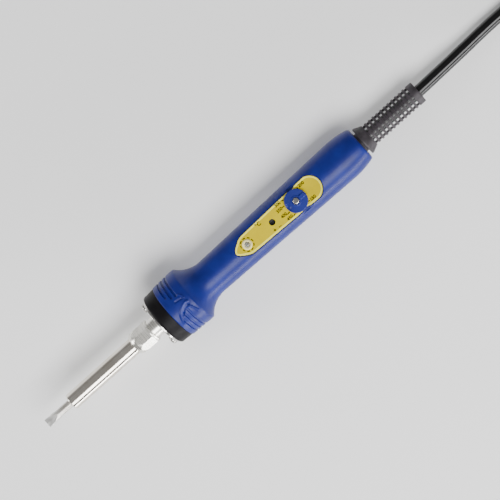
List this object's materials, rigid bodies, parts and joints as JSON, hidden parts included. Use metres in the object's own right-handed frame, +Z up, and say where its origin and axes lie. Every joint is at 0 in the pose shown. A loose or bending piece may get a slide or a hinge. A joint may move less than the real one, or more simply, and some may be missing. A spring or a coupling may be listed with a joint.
{
  "type": "soldering iron",
  "caption": "Mains soldering iron for stained glass: chisel tip on a ceramic heater, coned union nut, flared grip handle with a temperature dial, ladder bushing and a cord with its plug.",
  "frame": {"origin": "centre of the tool's bounding box on the bench, without the cord and plug", "axes": "+X along the tool from the tip towards the cord, +Z up out of the dial panel; the tool lies on its flare and the rear swell of its handle, 2.7 degrees nose up"},
  "size_m": [0.4927, 0.0642, 0.0353],
  "materials": {
    "tip_plating": "tinned copper, slightly darkened",
    "pipe_steel": "stainless tube with fine turning marks",
    "nut_plating": "bright nickel",
    "contact_brass": "spring brass",
    "ceramic_white": "matt alumina",
    "lead_metal": "tinned",
    "board_green": "solder mask",
    "plate_steel": "bright plated steel",
    "screw_steel": "zinc plated",
    "ring_plastic": "heat resistant, semi matt",
    "handle_plastic": "semi gloss, blue",
    "panel_yellow": "satin, yellow",
    "dial_plastic": "semi gloss, blue",
    "shaft_metal": "turned",
    "pot_case": "moulded",
    "led_epoxy": "clear red epoxy",
    "lens_clear": "clear moulded lens",
    "bezel_plastic": "pale satin",
    "trimmer_case": "moulded",
    "chip_black": "moulded epoxy",
    "capacitor_case": "moulded box",
    "resistor_body": "lacquered",
    "wire_brown": "PVC",
    "wire_blue": "PVC",
    "wire_green": "PVC",
    "wire_red": "heat resistant sleeve",
    "wire_white": "heat resistant sleeve",
    "tie_nylon": "nylon",
    "bushing_rubber": "moulded flexible vinyl",
    "cord_jacket": "glossy black vinyl jacket",
    "tie_fabric": "woven hook and loop strap",
    "plug_rubber": "moulded vinyl, satin",
    "blade_brass": "nickelled brass"
  },
  "bodies": {
    "handle": {"board_terminals": "lead_metal", "control_board": "board_green", "control_chip": "chip_black", "cord_bushing": "bushing_rubber", "cord_hank": "cord_jacket", "cord_inner_end": "cord_jacket", "cord_stopper": "tie_nylon", "dial_potentiometer": "pot_case", "earth_contact": "contact_brass", "earth_wire": "wire_green", "flange_lock_washers": "screw_steel", "flange_plate": "plate_steel", "flange_screws": "screw_steel", "front_ring": "ring_plastic", "handle_shell": "handle_plastic", "hank_tie": "tie_fabric", "heater_collar": "ceramic_white", "heater_core": "ceramic_white", "heater_leads": "lead_metal", "heater_wires": "wire_red", "lamp_bezel": "bezel_plastic", "lamp_led": "led_epoxy", "lamp_lens": "lens_clear", "live_wire": "wire_brown", "mains_capacitor": "capacitor_case", "neutral_wire": "wire_blue", "nipple": "nut_plating", "panel_plate": "panel_yellow", "plug_blades": "blade_brass", "plug_body": "plug_rubber", "plug_earth_pin": "blade_brass", "plug_lead": "cord_jacket", "power_cord": "cord_jacket", "power_resistors": "resistor_body", "sensor_wires": "wire_white", "terminal_disc": "board_green", "triac": "chip_black", "trimmer_body": "trimmer_case"},
    "dial": {"dial_knob": "dial_plastic", "dial_shaft": "shaft_metal"},
    "dial_lock": {"dial_lock_screw": "screw_steel"},
    "trimmer": {"trimmer_rotor": "chip_black"},
    "barrel": {"enclosure_pipe": "pipe_steel"},
    "nut": {"union_nut": "nut_plating"},
    "tip": {"soldering_tip": "tip_plating"}
  },
  "joints": [
    {"name": "dial_turn", "type": "hinge", "parent": "handle", "child": "dial", "pos_m": [0.05005, 0, 0.02328], "axis": [0.0471, 0, 0.9989], "range_deg": [-138, 138]},
    {"name": "dial_lock_turn", "type": "hinge", "parent": "dial", "child": "dial_lock", "pos_m": [0.05014, 0, 0.02518], "axis": [0.0471, 0, 0.9989], "range_deg": [0, 360]},
    {"name": "trimmer_turn", "type": "hinge", "parent": "handle", "child": "trimmer", "pos_m": [0.03229, 0, 0.02042], "axis": [0.0471, 0, 0.9989], "range_deg": [-130, 130]},
    {"name": "barrel_slide", "type": "slide", "parent": "handle", "child": "barrel", "axis": [-0.9989, 0, 0.0471], "range_m": [0, 0.06]},
    {"name": "nut_spin", "type": "hinge", "parent": "barrel", "child": "nut", "pos_m": [-0.06457, 0, 0.01918], "axis": [0.9989, 0, -0.0471], "continuous": true},
    {"name": "tip_turn", "type": "hinge", "parent": "barrel", "child": "tip", "pos_m": [-0.11052, 0, 0.02134], "axis": [0.9989, 0, -0.0471], "continuous": true}
  ]
}
